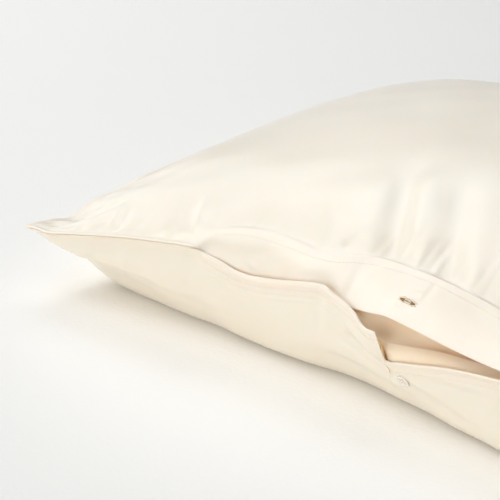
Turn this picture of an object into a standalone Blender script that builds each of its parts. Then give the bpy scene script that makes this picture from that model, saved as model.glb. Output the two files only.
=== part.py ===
"""A square satin pillowcase with a buttoned opening on one side, filled with its pillow.

The case lies on its back panel. X runs along the side with the opening, -Y is the side that
opens and +Z is up. The origin is on the surface under the middle of the case. Both panels and
the pillow are worked out from one filled shape: a position (u, v) on the case runs from -1 to 1
along X and along Y, and the shape gives the height of the top, the bottom and the seam there.
"""

import math

import bmesh
import bpy
import numpy as np
from mathutils import Matrix, Vector

MM = 0.001

# The filled case: a 65 x 65 cm case draws in to this from corner to corner.
HALF_SIDE = 305 * MM
CROWN_HEIGHT = 156 * MM
CORNER_HEIGHT = 67 * MM
BACK_CORNER_HEIGHT = 56 * MM
SEAM_HEIGHT = 86 * MM
SIDE_DRAW_IN = 22 * MM
FRONT_DRAW_IN = 28 * MM
CROWN_SHAPE = 2.43          # power of the plan position: higher is a flatter, boxier crown
CROWN_ROUNDNESS = 0.87
WALL_BULGE = 0.47           # lower is a steeper side wall under the seam
WALL_DEPTH = 171 * MM       # how far the wall would reach down if no surface held it
FLOOR_BLEND = 5 * MM        # rounding where the wall turns into the flat underside
EAR_SLIMMING = 0.5          # the pillow doesn't fill the corners: they are this much flatter
EAR_REACH = 0.09            # share of a half side that such a corner takes

# How the side with the opening departs from that even shape, at stations along X: the seam's
# height there, and how far the foot of the wall is drawn up off the surface.
FRONT_COLUMNS = ("along", "seam_shift", "foot_lift")
FRONT_ROWS = (
    (-305, 0.0, 10), (-300, -0.5, 12), (-288, -5.5, 14), (-262, -2.5, 16), (-238, 0.0, 19),
    (-205, 3.0, 11),
    (-160, 6.0, 5), (-129, 7.6, 6), (-108, 6.0, 8), (-78, 4.5, 1), (-31, 1.5, 0), (9, -0.5, 2),
    (38, -2.0, 16), (62, -3.0, 7), (93, -4.2, 6), (116, -5.0, 2), (145, -5.6, 1), (172, -5.7, -5),
    (235, -4.5, 0), (305, 0.0, 0),
)
FOOT_PLACES = (-1.0, -0.95, -0.92, -0.84)   # v over which that lift comes in and fades
FOOT_SIDE_FADE = 0.05                       # and the share of u in which it fades at the sides

# Cloth, seams and clearances.
CLOTH = 2 * MM
SEAM_LIP = 2.5 * MM         # the sewn edge stands out by this
SEAM_LIP_CLOTH = 1.2 * MM
GAP = 0.3 * MM
SEAM_GAP = 0.5 * MM         # between the two panels where they are sewn together
PILLOW_CROWN_CLEARANCE = 1.6 * MM
PILLOW_WALL_CLEARANCE = 5.0 * MM   # on its flat underside the clearance is GAP

# The opening: from its left end to its right end along X.
MOUTH_LEFT = -129 * MM
MOUTH_RIGHT = 200 * MM
MOUTH_BLEND = 12 * MM       # over which the sewn seam turns into two free hems
BAND_PUFF = 4 * MM          # how far the wide hem bows out between its seam and its edge
RIM_FADE = 38 * MM          # how far down the wall the rim's outward fold reaches

# Stations along the opening, in millimetres. "rim" is the lower panel's hem and "edge" the free
# edge of the top panel's wide hem: each has its drop below the sewn seam's line, and how far it
# lies in or out from it. "band" is how far back the wide hem's own seam runs, and "pillow" is
# where the pillow's seam lies inside.
MOUTH_COLUMNS = ("along", "rim_drop", "rim_out", "edge_drop", "edge_in", "band_back",
                 "pillow_in", "pillow_drop")
MOUTH_ROWS = (
    (-129, 0.0, 0.0, 0.0, 0.0, 20, 6, 8),
    (-115, 3.5, 0.0, 2.0, 3.5, 25, 8, 10),
    (-100, 6.5, 0.5, 12.0, 4.5, 27, 11, 14),
    (-75, 11.0, 1.0, 19.0, 4.8, 28, 14, 20),
    (-44, 6.0, 1.0, 16.0, 4.8, 27, 14, 20),
    (-7, -4.0, 1.0, 10.0, 4.0, 29, 14, 20),
    (12, 0.0, 1.0, 8.0, 4.0, 36, 14, 22),
    (27, 6.0, 2.5, 4.0, 3.0, 41, 15, 25),
    (42, 16.0, 5.0, 0.0, 1.0, 44, 15, 28),
    (56, 24.0, 7.0, -2.0, 0.0, 44, 15, 28),
    (66, 31.0, 4.5, -2.5, -1.0, 44, 15, 27),
    (76, 31.0, 3.0, -2.5, -1.0, 43, 15, 25),
    (102, 22.0, 5.0, -2.0, -1.0, 43, 15, 18),
    (132, 13.0, 4.5, -2.0, -1.0, 43, 15, 12),
    (165, 5.0, 2.0, -2.0, -0.5, 40, 12, 10),
    (186, 1.5, 0.5, -0.5, 0.0, 34, 8, 9),
    (200, 0.0, 0.0, 0.0, 0.0, 26, 6, 8),
)
BAND_BACK_SEWN = 24 * MM

# Soft folds that rise from the wide hem's seam: foot and head in plan, height and half width.
FOLD_COLUMNS = ("foot_x", "foot_y", "head_x", "head_y", "height", "half_width")
FOLD_ROWS = (
    (-14, -244, -94, -136, 2.0, 11),
    (18, -240, -63, -154, 3.0, 10),
    (48, -236, -11, -120, 3.5, 12),
    (98, -236, 34, -125, 3.5, 13),
)

# The buttonhole lies in the wide hem, parallel to its edge, and the button on the lower panel.
BUTTONHOLE_LEFT = 63 * MM
BUTTONHOLE_LENGTH = 15 * MM
BUTTONHOLE_OPENING = 0.06   # of the hem's width, at the middle of the slit
BUTTON_ALONG = 79 * MM
BUTTON_HEIGHT = 35 * MM
BUTTON_RADIUS = 5.75 * MM
BUTTON_THICKNESS = 2.4 * MM
BUTTON_DISH_RADIUS = 3.9 * MM
BUTTON_DISH_DEPTH = 0.7 * MM
BUTTON_HOLE_RADIUS = 0.8 * MM
BUTTON_HOLE_PITCH = 1.3 * MM   # of each of the four holes from the middle, along both ways

# Rows and columns of the two panels. Bands are shares of the wide hem from its free edge.
BAND_SHARES = (0.0, 0.05, 0.25, 0.5, 0.5, 0.75, 1.0)
SLIT_ROW = 3                # the slit opens between this row and the next
WALL_ROWS = 8
WALL_REACH = 0.1            # share of v from the seam in which the wall comes down
FLOOR_PLACES = np.array([-0.8, -0.66, -0.4, 0.0, 0.4, 0.66, 0.8])   # v of the underside's rows
BACK_WALL_ROWS = 5
BACK_SHARES = np.array([0.03, 0.075, 0.13, 0.2, 0.28, 0.37, 0.47, 0.57, 0.67, 0.76, 0.84, 0.905,
                        0.955, 0.985, 1.0])   # rows of the top panel behind the wide hem
COLUMN_ZONES = (            # from, to, steps, power (over 1 packs them towards the outside)
    (-305, -278, 6, 2.2),
    (-278, -129, 8, 1.0),
    (-129, 63, 21, 1.0),
    (63, 78, 2, 1.0),
    (78, 200, 13, 1.0),
    (200, 278, 4, 1.0),
)

# The pillow: its seam just inside the case's, and the rows and columns of its two halves.
PILLOW_SEAM_DROP = 7.5 * MM
PILLOW_FRONT_ROWS = 3
PILLOW_BOW = 1.5 * MM
PILLOW_WALL_PLACES = np.array([0.982, 0.955, 0.925, 0.9])
PILLOW_SKIPPED_COLUMNS = 3   # of the panels' columns at each side
PILLOW_FLAT_MARGIN = 1.07    # the pillow's underside is flat this much short of the case's


def clear_scene():
    for item in list(bpy.data.objects):
        bpy.data.objects.remove(item, do_unlink=True)


def material(name, colour, roughness, sheen=0.0, coat=0.0):
    made = bpy.data.materials.new(name)
    made.use_nodes = True
    shader = made.node_tree.nodes["Principled BSDF"]
    shader.inputs["Base Color"].default_value = (*colour, 1.0)
    shader.inputs["Roughness"].default_value = roughness
    shader.inputs["Metallic"].default_value = 0.0
    shader.inputs["Sheen Weight"].default_value = sheen
    shader.inputs["Coat Weight"].default_value = coat
    return made


# ---------------------------------------------------------------- the filled shape

def table(columns, rows):
    """The rows of a table as one array for each named column, in metres."""
    return {name: np.array([row[i] for row in rows]) * MM for i, name in enumerate(columns)}


FRONT = table(FRONT_COLUMNS, FRONT_ROWS)
MOUTH = table(MOUTH_COLUMNS, MOUTH_ROWS)
FOLDS = table(FOLD_COLUMNS, FOLD_ROWS)


def along(rows, name, x):
    """A smooth curve through one column of a table of stations along X."""
    stations, values = rows["along"], rows[name]
    slopes = np.gradient(values, stations)
    i = np.clip(np.searchsorted(stations, x) - 1, 0, len(stations) - 2)
    step = stations[i + 1] - stations[i]
    t = np.clip((x - stations[i]) / step, 0, 1)
    start = (1 + 2 * t) * (1 - t) ** 2 * values[i] + t * (1 - t) ** 2 * step * slopes[i]
    end = t * t * (3 - 2 * t) * values[i + 1] + t * t * (t - 1) * step * slopes[i + 1]
    return start + end


def smooth_step(t):
    t = np.clip(t, 0, 1)
    return t * t * (3 - 2 * t)


def mouth_share(x):
    """0 where the seam is sewn shut, 1 where the two hems are free."""
    return smooth_step((x - MOUTH_LEFT) / MOUTH_BLEND) * smooth_step((MOUTH_RIGHT - x) / MOUTH_BLEND)


def plan(u, v):
    x = u * (HALF_SIDE - SIDE_DRAW_IN * (1 - v * v))
    y = v * (HALF_SIDE - FRONT_DRAW_IN * (1 - u * u))
    return x, y


def seam_height(u, v):
    corner = np.where(np.asarray(v) < 0, CORNER_HEIGHT, BACK_CORNER_HEIGHT)
    level = SEAM_HEIGHT - (SEAM_HEIGHT - corner) * (u * v) ** 2
    return level + along(FRONT, "seam_shift", plan(u, v)[0]) * np.clip(-v, 0, 1) ** 4


def fullness(u, v):
    """0 on the seam, 1 in the middle of the case."""
    share = (1 - np.abs(u) ** CROWN_SHAPE) * (1 - np.abs(v) ** CROWN_SHAPE)
    from_corner = (1 - np.abs(u)) ** 2 + (1 - np.abs(v)) ** 2
    ear = 1 - EAR_SLIMMING * np.exp(-from_corner / EAR_REACH ** 2)
    return ear * np.clip(share, 0, 1) ** CROWN_ROUNDNESS


def top_surface(u, v):
    x, y = plan(u, v)
    z = seam_height(u, v) + (CROWN_HEIGHT - SEAM_HEIGHT) * fullness(u, v)
    return np.stack([x, y, z + SEAM_LIP_CLOTH + SEAM_GAP / 2], axis=-1)


def bottom_surface(u, v):
    x, y = plan(u, v)
    z = seam_height(u, v) - SEAM_LIP_CLOTH - SEAM_GAP / 2
    z = z - WALL_DEPTH * fullness(u, v) ** WALL_BULGE
    start, risen, falling, end = FOOT_PLACES
    lifted = smooth_step((v - start) / (risen - start)) * smooth_step((end - v) / (end - falling))
    lifted = lifted * smooth_step((1 - np.abs(u)) / FOOT_SIDE_FADE)
    z = z + along(FRONT, "foot_lift", x) * lifted
    rounded = (z + FLOOR_BLEND) ** 2 / (4 * FLOOR_BLEND)
    z = np.where(z > FLOOR_BLEND, z, np.where(z > -FLOOR_BLEND, rounded, 0.0))
    return np.stack([x, y, z], axis=-1)


def front_line(x):
    """How far out, along Y, the seam of the opening's side runs."""
    return -(HALF_SIDE - FRONT_DRAW_IN * (1 - (x / HALF_SIDE) ** 2))


def column_positions():
    """u of every column of the panels, closest together on the walls and in the opening."""
    places = []
    for start, end, steps, power in COLUMN_ZONES:
        share = (np.arange(steps) / steps) ** power
        places.extend(start + (end - start) * share)
    start, end, steps, power = COLUMN_ZONES[0]
    right_wall = [-start - (end - start) * (k / steps) ** power for k in range(steps, -1, -1)]
    return np.array(places + right_wall) * MM / HALF_SIDE


# ---------------------------------------------------------------- cloth panels

def fold_height(x, y):
    """Height of the soft folds above the plain crown."""
    total = np.zeros_like(x)
    for k in range(len(FOLD_ROWS)):
        foot = np.array([FOLDS["foot_x"][k], FOLDS["foot_y"][k]])
        run = np.array([FOLDS["head_x"][k], FOLDS["head_y"][k]]) - foot
        length = np.hypot(*run)
        run /= length
        along = ((x - foot[0]) * run[0] + (y - foot[1]) * run[1]) / length
        across = (x - foot[0]) * run[1] - (y - foot[1]) * run[0]
        fade = smooth_step((along + 0.12) / 0.24) * smooth_step((1.15 - along) / 0.8)
        total += FOLDS["height"][k] * fade * np.exp(-(across / FOLDS["half_width"][k]) ** 2)
    return total


def top_column(u):
    """Points of the top panel down one column, from front to back, and the v of each."""
    x = u * HALF_SIDE
    open_share = mouth_share(x)
    back = BAND_BACK_SEWN + (along(MOUTH, "band_back", x) - BAND_BACK_SEWN) * open_share
    band_v = -1 + back / HALF_SIDE
    shares = np.array(BAND_SHARES)
    slit = math.sin(math.pi * np.clip((x - BUTTONHOLE_LEFT) / BUTTONHOLE_LENGTH, 0, 1))
    opening = BUTTONHOLE_OPENING * (0.35 + 0.65 * slit)
    shares[SLIT_ROW] -= opening / 2
    shares[SLIT_ROW + 1] += opening / 2

    sewn_shares = np.where(np.arange(len(shares)) == 1, 0.0, shares)
    sewn = top_surface(u, -1 + (band_v + 1) * sewn_shares)

    hem_seam = top_surface(u, band_v)
    edge_y = front_line(x) + along(MOUTH, "edge_in", x)
    edge_z = seam_height(u, -1) + SEAM_LIP_CLOTH + SEAM_GAP / 2 - along(MOUTH, "edge_drop", x)
    free_edge = np.array([x, edge_y, edge_z])
    free = free_edge + (hem_seam - free_edge) * shares[:, None]
    slope = hem_seam - free_edge
    outward = np.array([0.0, -slope[2], slope[1]]) / math.hypot(slope[1], slope[2])
    free += outward * (BAND_PUFF * np.sin(math.pi * shares))[:, None]

    back_v = band_v + (1 - band_v) * BACK_SHARES
    behind = top_surface(u, back_v)
    column = np.concatenate([sewn + (free - sewn) * open_share, behind, behind[-1:]])
    column[:, 2] += fold_height(column[:, 0], column[:, 1])
    return column, np.concatenate([-1 + (band_v + 1) * sewn_shares, back_v, back_v[-1:]])


def wall_line(u):
    """The lower panel's wall in one column, from its upper edge down, and the v of each point."""
    x = u * HALF_SIDE
    open_share = mouth_share(x)
    v = -1 + WALL_REACH * np.linspace(0, 1, 60) ** 2
    wall = bottom_surface(u, v)
    above = wall[0] + np.array([0.0, 0.0, 10 * MM])
    wall = np.concatenate([above[None], wall])
    run = np.concatenate([[0], np.cumsum(np.linalg.norm(np.diff(wall, axis=0), axis=1))]) - 10 * MM
    start = along(MOUTH, "rim_drop", x) * open_share
    places = start + (run[-1] - start) * np.linspace(0, 1, 90)
    line = np.stack([np.interp(places, run, wall[:, k]) for k in range(3)], axis=-1)
    line_v = np.interp(places, run, np.concatenate([[-1.0], v]))
    reach = np.clip(1 - (places - start) / RIM_FADE, 0, 1)
    line[:, 1] -= along(MOUTH, "rim_out", x) * open_share * smooth_step(reach)
    return line, line_v


def bottom_column(u):
    """Points of the lower panel down one column, from front to back, and the v of each."""
    line, line_v = wall_line(u)
    x = u * HALF_SIDE
    share = np.linspace(0, 1, WALL_ROWS + 1)
    spread = np.linspace(0, 1, len(line))
    front = np.stack([np.interp(share, spread, line[:, k]) for k in range(3)], axis=-1)
    front_v = np.interp(share, spread, line_v)
    hem_row = front[0] + (front[1] - front[0]) * 0.25 * mouth_share(x)
    floor = bottom_surface(u, FLOOR_PLACES)
    back_v = 1 - WALL_REACH * np.linspace(1, 0, BACK_WALL_ROWS + 1) ** 2
    back = bottom_surface(u, back_v)
    column = np.concatenate([front[:1], hem_row[None], front[1:], floor, back, back[-1:]])
    return column, np.concatenate([[-1.0], front_v, FLOOR_PLACES, back_v, back_v[-1:]])


def grid_normals(grid):
    """Unit normals of a grid of points, pointing up for rows that run towards +Y."""
    normal = np.cross(np.gradient(grid, axis=0), np.gradient(grid, axis=1))
    return normal / np.linalg.norm(normal, axis=-1, keepdims=True)


def panel_sides(column, side):
    """The outer and inner grids of a panel: side is 1 for the top panel, -1 for the lower one.

    The outermost ring of the grid is the tip of the sewn lip, and the next ring its root.
    """
    places = column_positions()
    places = np.concatenate([places[:1], places, places[-1:]])
    outer = np.array([column(u)[0] for u in places])
    seam = np.array([seam_height(u, column(u)[1]) for u in places]) + side * SEAM_GAP / 2
    columns, rows = outer.shape[:2]
    normal = np.zeros_like(outer)
    normal[1:-1, 1:-1] = side * grid_normals(outer[1:-1, 1:-1])
    normal[:, 0] = normal[:, 1]

    outward = np.zeros_like(outer)
    outward[:2, :, 0] = -1
    outward[-2:, :, 0] = 1
    outward[:, :2, 1] = -1
    outward[:, -2:, 1] = 1
    lift = np.array([0.0, 0.0, side * SEAM_LIP_CLOTH])
    tip = np.zeros((columns, rows, 1), bool)
    tip[[0, -1]] = True
    tip[:, [0, -1]] = True
    root = np.zeros_like(tip)
    root[[1, -2], 1:-1] = True
    root[1:-1, [1, -2]] = True

    mitre = outward * CLOTH if side < 0 else 0.0
    sewn_depth = np.where(tip, lift, mitre + lift)
    depth = np.where(tip | root, sewn_depth, normal * CLOTH)
    free = mouth_share(outer[:, :2, :1])
    depth[:, :2] = depth[:, :2] * (1 - free) + normal[:, :2] * CLOTH * free
    sewn = np.ones_like(outer)
    sewn[:, 0] = 1 - mouth_share(outer[:, 0, :1])
    inner = outer - depth
    beyond_seam = side * (inner[..., 2] - seam) < 0
    front_open = np.arange(rows) < len(BAND_SHARES)
    beyond_seam &= ~(front_open & (mouth_share(outer[..., 0]) > 0))
    inner[..., 2] = np.where(beyond_seam, seam, inner[..., 2])
    lip = np.where(tip, outward * SEAM_LIP * sewn, 0.0)
    return outer + lip, inner + lip


def shell(outer, inner, holes=()):
    """Vertices and faces of one closed sheet between two grids, with some cells cut through."""
    columns, rows = outer.shape[:2]
    count = columns * rows
    faces, edges = [], set()
    for i in range(columns - 1):
        for j in range(rows - 1):
            if (i, j) in holes:
                continue
            corner = i * rows + j
            cell = [corner, corner + rows, corner + rows + 1, corner + 1]
            faces.append(cell)
            faces.append([count + k for k in reversed(cell)])
            edges.update(zip(cell, cell[1:] + cell[:1]))
    for a, b in sorted(edges):
        if (b, a) not in edges:
            faces.append([b, a, count + a, count + b])
    return np.concatenate([outer.reshape(-1, 3), inner.reshape(-1, 3)]), faces


def add_object(name, points, faces, finish):
    mesh = bpy.data.meshes.new(name)
    mesh.from_pydata([tuple(point) for point in points], [], faces)
    mesh.materials.append(finish)
    mesh.shade_smooth()
    made = bpy.data.objects.new(name, mesh)
    bpy.context.scene.collection.objects.link(made)
    return made


def build_top_panel(finish):
    """The top panel with its wide hem, open at the buttonhole."""
    outer, inner = panel_sides(top_column, 1)
    slit = [i + 1 for i, u in enumerate(column_positions()[:-1])
            if BUTTONHOLE_LEFT - MM / 2 < u * HALF_SIDE < BUTTONHOLE_LEFT + BUTTONHOLE_LENGTH - MM]
    points, faces = shell(outer, inner, {(i, SLIT_ROW) for i in slit})
    return add_object("top_panel", points, faces, finish)


def build_bottom_panel(finish):
    """The lower panel: its narrow hem is the rim of the opening, its underside lies flat."""
    outer, inner = panel_sides(bottom_column, -1)
    points, faces = shell(outer[::-1], inner[::-1])
    return add_object("bottom_panel", points, faces, finish)


# ---------------------------------------------------------------- pillow

def inside(surface, side, u, v):
    """A point of the pillow under one panel: the cloth and a small clearance inside it."""
    step = 1e-4
    across = surface(u + step, v) - surface(u - step, v)
    down = surface(u, v + step) - surface(u, v - step)
    normal = np.cross(across, down)
    normal /= np.linalg.norm(normal)
    base = surface(u, v)
    if side > 0:
        return base - normal * (CLOTH + PILLOW_CROWN_CLEARANCE)
    if surface(u * PILLOW_FLAT_MARGIN, v * PILLOW_FLAT_MARGIN)[2] == 0.0:
        return base + np.array([0.0, 0.0, CLOTH + GAP])
    return base + normal * (CLOTH + PILLOW_WALL_CLEARANCE)


def pillow_seam_point(u, v):
    """The pillow's own seam: close inside the case's seam, and deeper in where it is open."""
    x, y = plan(u, v)
    point = np.array([x, y, seam_height(u, v) - PILLOW_SEAM_DROP])
    if v < 0:
        share = mouth_share(x) * smooth_step((-v - 0.9) / 0.05)
        open_y = front_line(x) + along(MOUTH, "pillow_in", x)
        open_z = seam_height(u, -1) - along(MOUTH, "pillow_drop", x)
        point[1] += (open_y - y) * share
        point[2] += (open_z - point[2]) * share
    return point


def pillow_side(surface, side, columns, rows):
    """One half of the pillow as a grid; its border is the pillow's seam."""
    grid = np.zeros((len(columns), len(rows), 3))
    for i, u in enumerate(columns):
        for j, v in enumerate(rows):
            border = i in (0, len(columns) - 1) or j in (0, len(rows) - 1)
            grid[i, j] = pillow_seam_point(u, v) if border else inside(surface, side, u, v)
        if side > 0 and 0 < i < len(columns) - 1:
            hem_v = -1 + (along(MOUTH, "band_back", u * HALF_SIDE) + 3 * MM) / HALF_SIDE
            under_hem = inside(surface, side, u, max(hem_v, rows[PILLOW_FRONT_ROWS]))
            for j in range(1, PILLOW_FRONT_ROWS + 1):
                share = j / PILLOW_FRONT_ROWS
                chord = grid[i, 0] + (under_hem - grid[i, 0]) * share
                bow = PILLOW_BOW * math.sin(math.pi * share)
                grid[i, j] = chord + np.array([0.0, -bow, bow])
    return grid


def build_pillow(finish):
    """The pillow that fills the case; it shows in the opening with its own seam."""
    columns = column_positions()
    columns = columns[PILLOW_SKIPPED_COLUMNS:-PILLOW_SKIPPED_COLUMNS:2]
    rows = np.concatenate([-PILLOW_WALL_PLACES, FLOOR_PLACES, PILLOW_WALL_PLACES[::-1]])
    top = pillow_side(top_surface, 1, columns, rows)
    bottom = pillow_side(bottom_surface, -1, columns, rows)
    count = len(columns) * len(rows)
    points = np.concatenate([top.reshape(-1, 3), bottom.reshape(-1, 3)])
    faces = []
    for i in range(len(columns) - 1):
        for j in range(len(rows) - 1):
            corner = i * len(rows) + j
            cell = [corner, corner + len(rows), corner + len(rows) + 1, corner + 1]
            faces.append(cell)
            faces.append([count + k for k in reversed(cell)])
    made = add_object("pillow", points, faces, finish)
    body = bmesh.new()
    body.from_mesh(made.data)
    bmesh.ops.remove_doubles(body, verts=body.verts, dist=0.01 * MM)
    body.to_mesh(made.data)
    body.free()
    return made


# ---------------------------------------------------------------- button

def wall_spot(x, height):
    """The point of the lower panel's wall at one place and height, and its outward normal."""
    lines = [wall_line((x + dx) / HALF_SIDE)[0] for dx in (-4 * MM, 0.0, 4 * MM)]
    spots = [np.array([np.interp(height, line[::-1, 2], line[::-1, k]) for k in range(3)])
             for line in lines]
    upper = np.array([np.interp(height + 4 * MM, lines[1][::-1, 2], lines[1][::-1, k])
                      for k in range(3)])
    lower = np.array([np.interp(height - 4 * MM, lines[1][::-1, 2], lines[1][::-1, k])
                      for k in range(3)])
    normal = np.cross(spots[2] - spots[0], upper - lower)
    return spots[1], normal / np.linalg.norm(normal)


def build_button(finish):
    """A four-hole button with a raised rim, sewn to the lower panel below its hem."""
    spot, normal = wall_spot(BUTTON_ALONG, BUTTON_HEIGHT)
    half = BUTTON_THICKNESS / 2
    profile = ((0, 0), (BUTTON_RADIUS * 0.78, 0), (BUTTON_RADIUS, half), (BUTTON_RADIUS * 0.9, half * 1.9),
               (BUTTON_DISH_RADIUS * 1.15, BUTTON_THICKNESS),
               (BUTTON_DISH_RADIUS * 0.85, BUTTON_THICKNESS - BUTTON_DISH_DEPTH),
               (0, BUTTON_THICKNESS - BUTTON_DISH_DEPTH))
    disc = bmesh.new()
    chain = [disc.verts.new((radius, 0, height)) for radius, height in profile]
    edges = [disc.edges.new(pair) for pair in zip(chain, chain[1:])]
    bmesh.ops.spin(disc, geom=chain + edges, cent=(0, 0, 0), axis=(0, 0, 1), angle=2 * math.pi,
                   steps=20, use_merge=True)
    bmesh.ops.remove_doubles(disc, verts=disc.verts, dist=0.01 * MM)
    bmesh.ops.recalc_face_normals(disc, faces=disc.faces)
    mesh = bpy.data.meshes.new("button")
    disc.to_mesh(mesh)
    disc.free()
    mesh.materials.append(finish)

    drills = bmesh.new()
    for across in (-1, 1):
        for up in (-1, 1):
            place = Matrix.Translation((across * BUTTON_HOLE_PITCH, up * BUTTON_HOLE_PITCH, half))
            bmesh.ops.create_cone(drills, cap_ends=True, segments=8, radius1=BUTTON_HOLE_RADIUS,
                                  radius2=BUTTON_HOLE_RADIUS, depth=3 * BUTTON_THICKNESS,
                                  matrix=place)
    drill_mesh = bpy.data.meshes.new("button_drill")
    drills.to_mesh(drill_mesh)
    drills.free()

    back_gap = GAP + 0.15 * MM      # the wall bows out by this much under the flat back
    turn = Vector(normal).to_track_quat("Z", "Y").to_matrix().to_4x4()
    place = Matrix.Translation(Vector(spot + normal * back_gap)) @ turn
    button = bpy.data.objects.new("button", mesh)
    drill = bpy.data.objects.new("button_drill", drill_mesh)
    for item in (button, drill):
        bpy.context.scene.collection.objects.link(item)
        item.matrix_world = place
    drill.hide_render = True
    drill.display_type = "WIRE"
    cut = button.modifiers.new("Holes", "BOOLEAN")
    cut.operation = "DIFFERENCE"
    cut.object = drill
    return button


def main():
    clear_scene()
    satin = material("Ivory satin", (0.89, 0.80, 0.63), 0.42, sheen=0.25)
    cotton = material("Pillow cotton", (0.90, 0.80, 0.70), 0.85, sheen=0.1)
    pearl = material("Pearl button", (0.92, 0.88, 0.80), 0.22, coat=0.6)
    build_top_panel(satin)
    build_bottom_panel(satin)
    build_pillow(cotton)
    build_button(pearl)


main()
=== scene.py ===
"""A square satin pillowcase, filled with its pillow, as it lies on a pale floor.

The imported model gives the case's size and place. X runs along the side with the opening, -Y is
the side that opens and +Z is up. Sizes are in metres, and the tables of places in millimetres.
"""

import math

import bmesh
import bpy
import numpy as np
from mathutils import Matrix, Vector


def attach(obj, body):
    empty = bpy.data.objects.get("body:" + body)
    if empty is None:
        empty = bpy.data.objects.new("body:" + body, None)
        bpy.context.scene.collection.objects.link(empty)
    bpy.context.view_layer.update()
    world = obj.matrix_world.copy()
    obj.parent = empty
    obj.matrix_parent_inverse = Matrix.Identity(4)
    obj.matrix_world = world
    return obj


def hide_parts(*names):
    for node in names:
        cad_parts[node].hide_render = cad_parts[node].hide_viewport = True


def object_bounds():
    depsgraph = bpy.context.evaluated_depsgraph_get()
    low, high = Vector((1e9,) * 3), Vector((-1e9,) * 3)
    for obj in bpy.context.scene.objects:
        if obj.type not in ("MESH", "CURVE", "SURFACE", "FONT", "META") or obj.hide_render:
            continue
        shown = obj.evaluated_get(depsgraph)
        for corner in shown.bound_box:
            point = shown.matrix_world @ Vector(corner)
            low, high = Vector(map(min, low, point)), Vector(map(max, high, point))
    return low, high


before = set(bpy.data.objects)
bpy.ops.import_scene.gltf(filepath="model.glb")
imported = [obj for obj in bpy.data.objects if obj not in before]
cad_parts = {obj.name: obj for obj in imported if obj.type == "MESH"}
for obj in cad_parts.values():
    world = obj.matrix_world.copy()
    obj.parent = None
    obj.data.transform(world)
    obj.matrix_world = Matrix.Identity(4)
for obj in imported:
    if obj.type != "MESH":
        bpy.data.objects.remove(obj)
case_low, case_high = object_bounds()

for item in bpy.context.selected_objects:
    item.select_set(False)


# -------- back panel
# The back panel is one square of ivory satin. It lies flat under the pillow, comes up round its
# sides and is sewn to the front panel on a narrow lip. Along the opening it ends in a narrow
# turned hem, the rim, which sags and curls forward where nothing holds it.

MM = 0.001
SOLIDS_LIP = 2.5 * MM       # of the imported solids, past the seam's own line
SOLIDS_CLOTH = 1.4 * MM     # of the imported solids, above the crown's own shape
HALF_SIDE = (case_high.x - case_low.x) / 2 - SOLIDS_LIP
CROWN_HEIGHT = case_high.z - SOLIDS_CLOTH
FRONT_CORNER_HEIGHT = 67 * MM
BACK_CORNER_HEIGHT = 56 * MM
SEAM_HEIGHT = 86 * MM
SIDE_DRAW_IN = 22 * MM
FRONT_DRAW_IN = 28 * MM
CROWN_SHAPE = 2.43
CROWN_ROUNDNESS = 0.87
WALL_BULGE = 0.445
WALL_DEPTH = 171 * MM
FLOOR_BLEND = 12 * MM
EAR_SLIMMING = 0.6
EAR_REACH = 0.105
EAR_LIFT = 5 * MM           # of the underside, near each corner
EAR_LIFT_PLACE = 55 * MM
EAR_LIFT_WIDTH = 50 * MM
EAR_LIFT_FADE = 0.01

SATIN = 0.6 * MM            # one layer
HEM = 1.5 * MM              # three layers, turned and sewn
LIP_CLOTH = 1.9 * MM        # each panel's share of the sewn lip
LIP_ROOT = 1.2 * MM         # and of its root
LIP_GAP = 0.2 * MM


def table(columns, rows):
    """The rows of a table as one array for each named column."""
    return {name: np.array([row[i] for row in rows], float) for i, name in enumerate(columns)}


# The side with the opening, at stations along X: the height of the seam's line against the even
# shape, and how far the foot of the wall is drawn up off the floor.
FRONT = table(("along", "seam_shift", "foot_lift"), (
    (-305, 0, 10), (-300, -0.2, 12), (-288, -2.9, 14), (-262, -1.6, 14), (-238, 0.4, 19),
    (-205, 3, 19), (-160, 6, 12), (-129, 7.6, 11), (-108, 6, 7), (-78, 4.5, 4),
    (-31, 1.5, 6), (9, -0.5, 15), (38, -2, 14.5), (62, -3, 10.5), (93, -4.2, 8),
    (116, -5, 3), (145, -5.6, 0), (172, -5.7, -5), (235, -4.5, 0), (305, 0, 0),
))
# How far the seam of the left side sags behind its front corner, at stations along Y.
SIDE = table(("along", "sag"), (
    (-305, 0), (-298, 1), (-290, 3), (-279, 5.2), (-268, 9), (-259, 9.8), (-250, 7.8),
    (-241, 4.2), (-230, 2.8), (-210, 3.2), (-196, 2.6), (-180, 0.5), (-150, 0), (305, 0),
))
FOOT_PLACES = (-1.0, -0.95, -0.92, -0.82)   # the lift starts, is whole, falls and ends
FOOT_SIDE_FADE = 0.05

MOUTH_LEFT = -132 * MM
MOUTH_RIGHT = 200 * MM
MOUTH_BLEND = 19 * MM

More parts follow.
